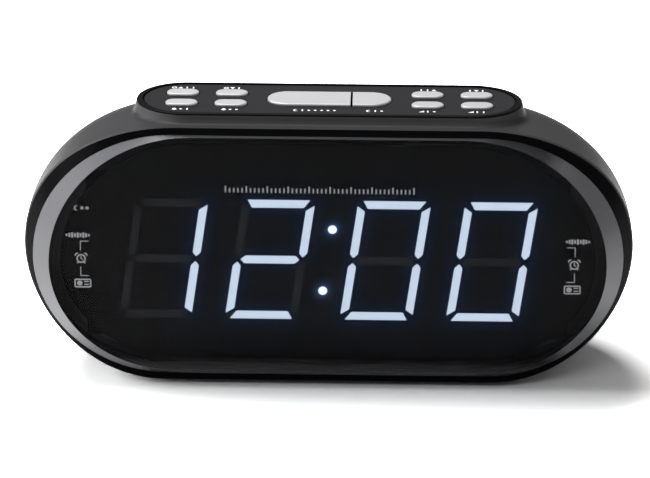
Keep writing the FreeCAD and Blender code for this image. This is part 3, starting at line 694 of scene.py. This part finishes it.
radio = Ink()
for row in (-1, 1):
    radio.stroke((-2.6, row * 1.45), (2.6, row * 1.45), line)
    radio.stroke((row * 2.8, -1.45), (row * 2.8, 1.45), line)
radio.disc((-1.15, 0), 1.0)
for y in (0.65, -0.5):
    radio.path([(0.5, y), (2.1, y)], 0.45)
print("shapes drawn:", sum(len(picture.faces) for picture in (buzz, alarm, radio)))

# %% [markdown]
# ### The two columns
#
# The pictures stand in a column on each side of the digits, the right one a mirror image of the
# left in its places but not in its drawings. They are printed on the back of the lens, so the
# ink lies just behind its wall, with a hair's breadth between them so that the two don't flicker.

# %% Print the left and right columns
zero = widest / MM
lens_wall = 2.0 * MM
hair = 0.06 * MM
lens_back = (0, lens_face + lens_wall + hair, 0)
facing_front = dict(x_axis=(1, 0, 0), y_axis=(0, 0, 1))
lamps_x, joint_x, thin_line = 86.1, 89.0, 0.3


def lamp_pictures(side, raised):
    """Buzzer, alarm and radio with the lines that join them."""
    lamps, joint = side * lamps_x, side * joint_x
    column = Ink().copy(buzz, (side * 89.9, raised + 9.9))
    column.path([(lamps, raised + 7.6), (joint, raised + 7.6), (joint, raised + 4.0)], thin_line)
    column.copy(alarm, (side * 88.8, raised + 0.9))
    column.path([(joint, raised - 2.2), (joint, raised - 5.7), (lamps, raised - 5.7)], thin_line)
    return column.copy(radio, (side * 88.3, raised - 8.6))


moon_height = zero + 20.6
left_marks = lamp_pictures(-1, zero + 0.3).copy(moon, (-90.2, moon_height))
left_marks.disc((-88.2, moon_height), 0.6).disc((-86.4, moon_height), 0.6)
print_on("left_marks", left_marks, lens_back, **facing_front, slot="lens")
print_on("right_marks", lamp_pictures(1, zero - 0.1), lens_back, **facing_front, slot="lens")

# %% [markdown]
# ### A row of ticks above the digits
#
# The strip above the two middle digits carries a plain row of ticks, one long one in every
# five, like the edge of a ruler. A loop places them, since only their number changes.

# %% Print the ticks
tick_count, tick_pitch, tick_start = 46, 1.5, -36.7
tick_foot = zero + 27.2
ticks = Ink()
for i in range(tick_count):
    x = tick_start + tick_pitch * i
    tall = 2.5 if i % 5 == 0 else 1.7
    ticks.stroke((x, tick_foot), (x, tick_foot + tall), 0.5)
print_on("tick_row", ticks, lens_back, **facing_front, slot="lens")

# %% [markdown]
# ### Marks beside the keys
#
# Each key has a short row of marks that says what it does without words. An alarm has its bell
# and one or two dots, a step up or down has an arrow, the volume has a wedge, and the long bar
# has a moon with a row of dots. The table below holds one row per key, at the key's column and
# at the front or the back of the panel, and the loop centres each row.

# %% Print the key marks
up_arrow = Ink().shape([(-0.9, -0.8), (0.9, -0.8), (0, 0.9)])
down_arrow = Ink().shape([(-0.9, 0.8), (0, -0.9), (0.9, 0.8)])
clock_face = Ink().arc((0, 0), 0.75, 0, 360, 0.4, 20)
dot = Ink().disc((0, 0), 0.5)
bar = Ink().stroke((0, -0.9), (0, 0.9), 0.5)
wedge = Ink().shape([(-1.0, -0.7), (1.0, -0.7), (1.0, 0.9)])

outer, inner, mark_pitch = 53.1, 35.4, 2.3
front_row, back_row = 12.5 - 38.0, 36.6 - 38.0
captions = {(-outer, back_row): (clock_face, up_arrow, bar, bar),
            (-inner, back_row): (clock_face, down_arrow, bar),
            (-outer, front_row): (bell, dot, bar),
            (-inner, front_row): (bell, dot, dot),
            (inner, back_row): (bar, bar, up_arrow),
            (outer, back_row): (bar, down_arrow, bar),
            (inner, front_row): (wedge, bar, dot),
            (outer, front_row): (wedge, bar, bar),
            (-4.9, front_row): (moon, bar, dot, dot, dot, dot, dot),
            (16.6, front_row): (moon, bar, dot)}
marks = Ink()
for (x, y), row in captions.items():
    for i, mark in enumerate(row):
        marks.copy(mark, (x + mark_pitch * (i - (len(row) - 1) / 2), y))
print_on("key_marks", marks, (0, 0, deck - 0.01 * MM), (1, 0, 0), (0, 1, 0), slot="panel")

# %% [markdown]
# ## Cloth behind the speaker slots
#
# The slots in the rear cover would show the bare cone, so a thin black cloth is stretched behind
# them on the speaker's frame. It is taut, so no cloth simulation is needed: it is a flat disc
# with a woven finish, where the bands of the warp and those of the weft are multiplied.

# %% Weave and stretch the cloth
thread = 0.6 * MM
cloth = Finish("cloth")
weave = cloth.bands("X", thread) * cloth.bands("Z", thread)
cloth.set(Base_Color=cloth.mix(weave, (0.008, 0.008, 0.008), (0.03, 0.03, 0.03)), Roughness=0.9,
          Normal=cloth.bump(weave, 0.15 * MM))

speaker_low, speaker_high = (Vector(corner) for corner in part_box("speaker_frame"))
cloth_radius = (speaker_high.x - speaker_low.x) / 2 - 2.5 * MM
speaker_middle = (speaker_low + speaker_high) / 2
behind_frame = (speaker_middle.x, speaker_high.y - 0.3 * MM, speaker_middle.z)
print_on("speaker_cloth", Ink().disc((0, 0), cloth_radius / MM, 48), behind_frame,
         (-1, 0, 0), (0, 0, 1), slot="paper", finish=cloth)
print("cloth radius", round(cloth_radius / MM, 1), "mm")

# %% [markdown]
# ## The studio
#
# The clock stands on a pale sheet in soft light. The room is white to whoever looks at it, also
# by way of a reflection, but it gives the clock only a little of its light, so that the dark
# plastic keeps its depth. A world whose strength depends on the kind of ray does both.

# %% Light the room
world = bpy.data.worlds.new("studio")
scene.world = world
world.use_nodes = True
sky = world.node_tree.nodes["Background"]
room = Network(world.node_tree)
room_light = 0.08
room.feed(sky.inputs["Strength"], room_light + (1 - room_light) * room.watched())
room.feed(sky.inputs["Color"], (1, 1, 1))
print("the room lights at", room_light)

# %% [markdown]
# ### Three softboxes
#
# One softbox stands low on the left, a little behind the clock: it adds light to the left
# crescent and draws the long shadow to the right. The main one hangs above and behind, so that
# the roof is pale and the shadow falls to the front; the faint grey of the lens comes from it
# too. A weak one in front lightens the shadow and leaves the lens as it is. Large sources give
# the soft edges of the shadow.

# %% Hang the softboxes
middle_of_clock = Vector((0, 0, 0.05))


def softbox(name, spot, width, height_of, power):
    """A soft rectangular source that faces the clock."""
    lamp = bpy.data.lights.new(name, "AREA")
    lamp.shape = "RECTANGLE"
    lamp.size, lamp.size_y = width, height_of
    lamp.energy = power
    holder = bpy.data.objects.new(name, lamp)
    scene.collection.objects.link(holder)
    holder.location = spot
    to_clock = middle_of_clock - Vector(spot)
    holder.rotation_euler = to_clock.to_track_quat("-Z", "Y").to_euler()


softbox("left_box", (-1.05, 0.2, 0.42), 0.8, 0.7, 8.0)
softbox("top_box", (-0.32, 0.36, 1.15), 0.9, 0.6, 19.5)
softbox("front_box", (-0.2, -0.9, 0.9), 0.7, 0.5, 0.9)
print("softboxes hung:", len(bpy.data.lights))

# %% [markdown]
# ### The sheet
#
# A plain white sheet under the clock needs so much light to look white that the keys burn out.
# So the sheet is paler to whoever looks at it than to the light that it throws back on the
# clock, and it keeps the clock's shadow. Its underside is clear, so the underside of the clock
# can be looked at from below the table.

# %% Lay the sheet
lighting_white, watched_white = 3 * (0.80,), 3 * (2.70,)
half_side = 4.0
sheet = Finish("sheet")
sheet.set(Base_Color=sheet.mix(sheet.watched(), lighting_white, watched_white),
          Roughness=0.9, Specular_IOR_Level=0.0, Alpha=sheet.front())
floor_mesh = bpy.data.meshes.new("sheet")
corners = [(-half_side, -half_side, 0), (half_side, -half_side, 0),
           (half_side, half_side, 0), (-half_side, half_side, 0)]
floor_mesh.from_pydata(corners, [], [(0, 1, 2, 3)])
floor_mesh.materials.append(sheet.material)
floor = bpy.data.objects.new("sheet", floor_mesh)
scene.collection.objects.link(floor)
print("sheet of", 2 * half_side, "m")
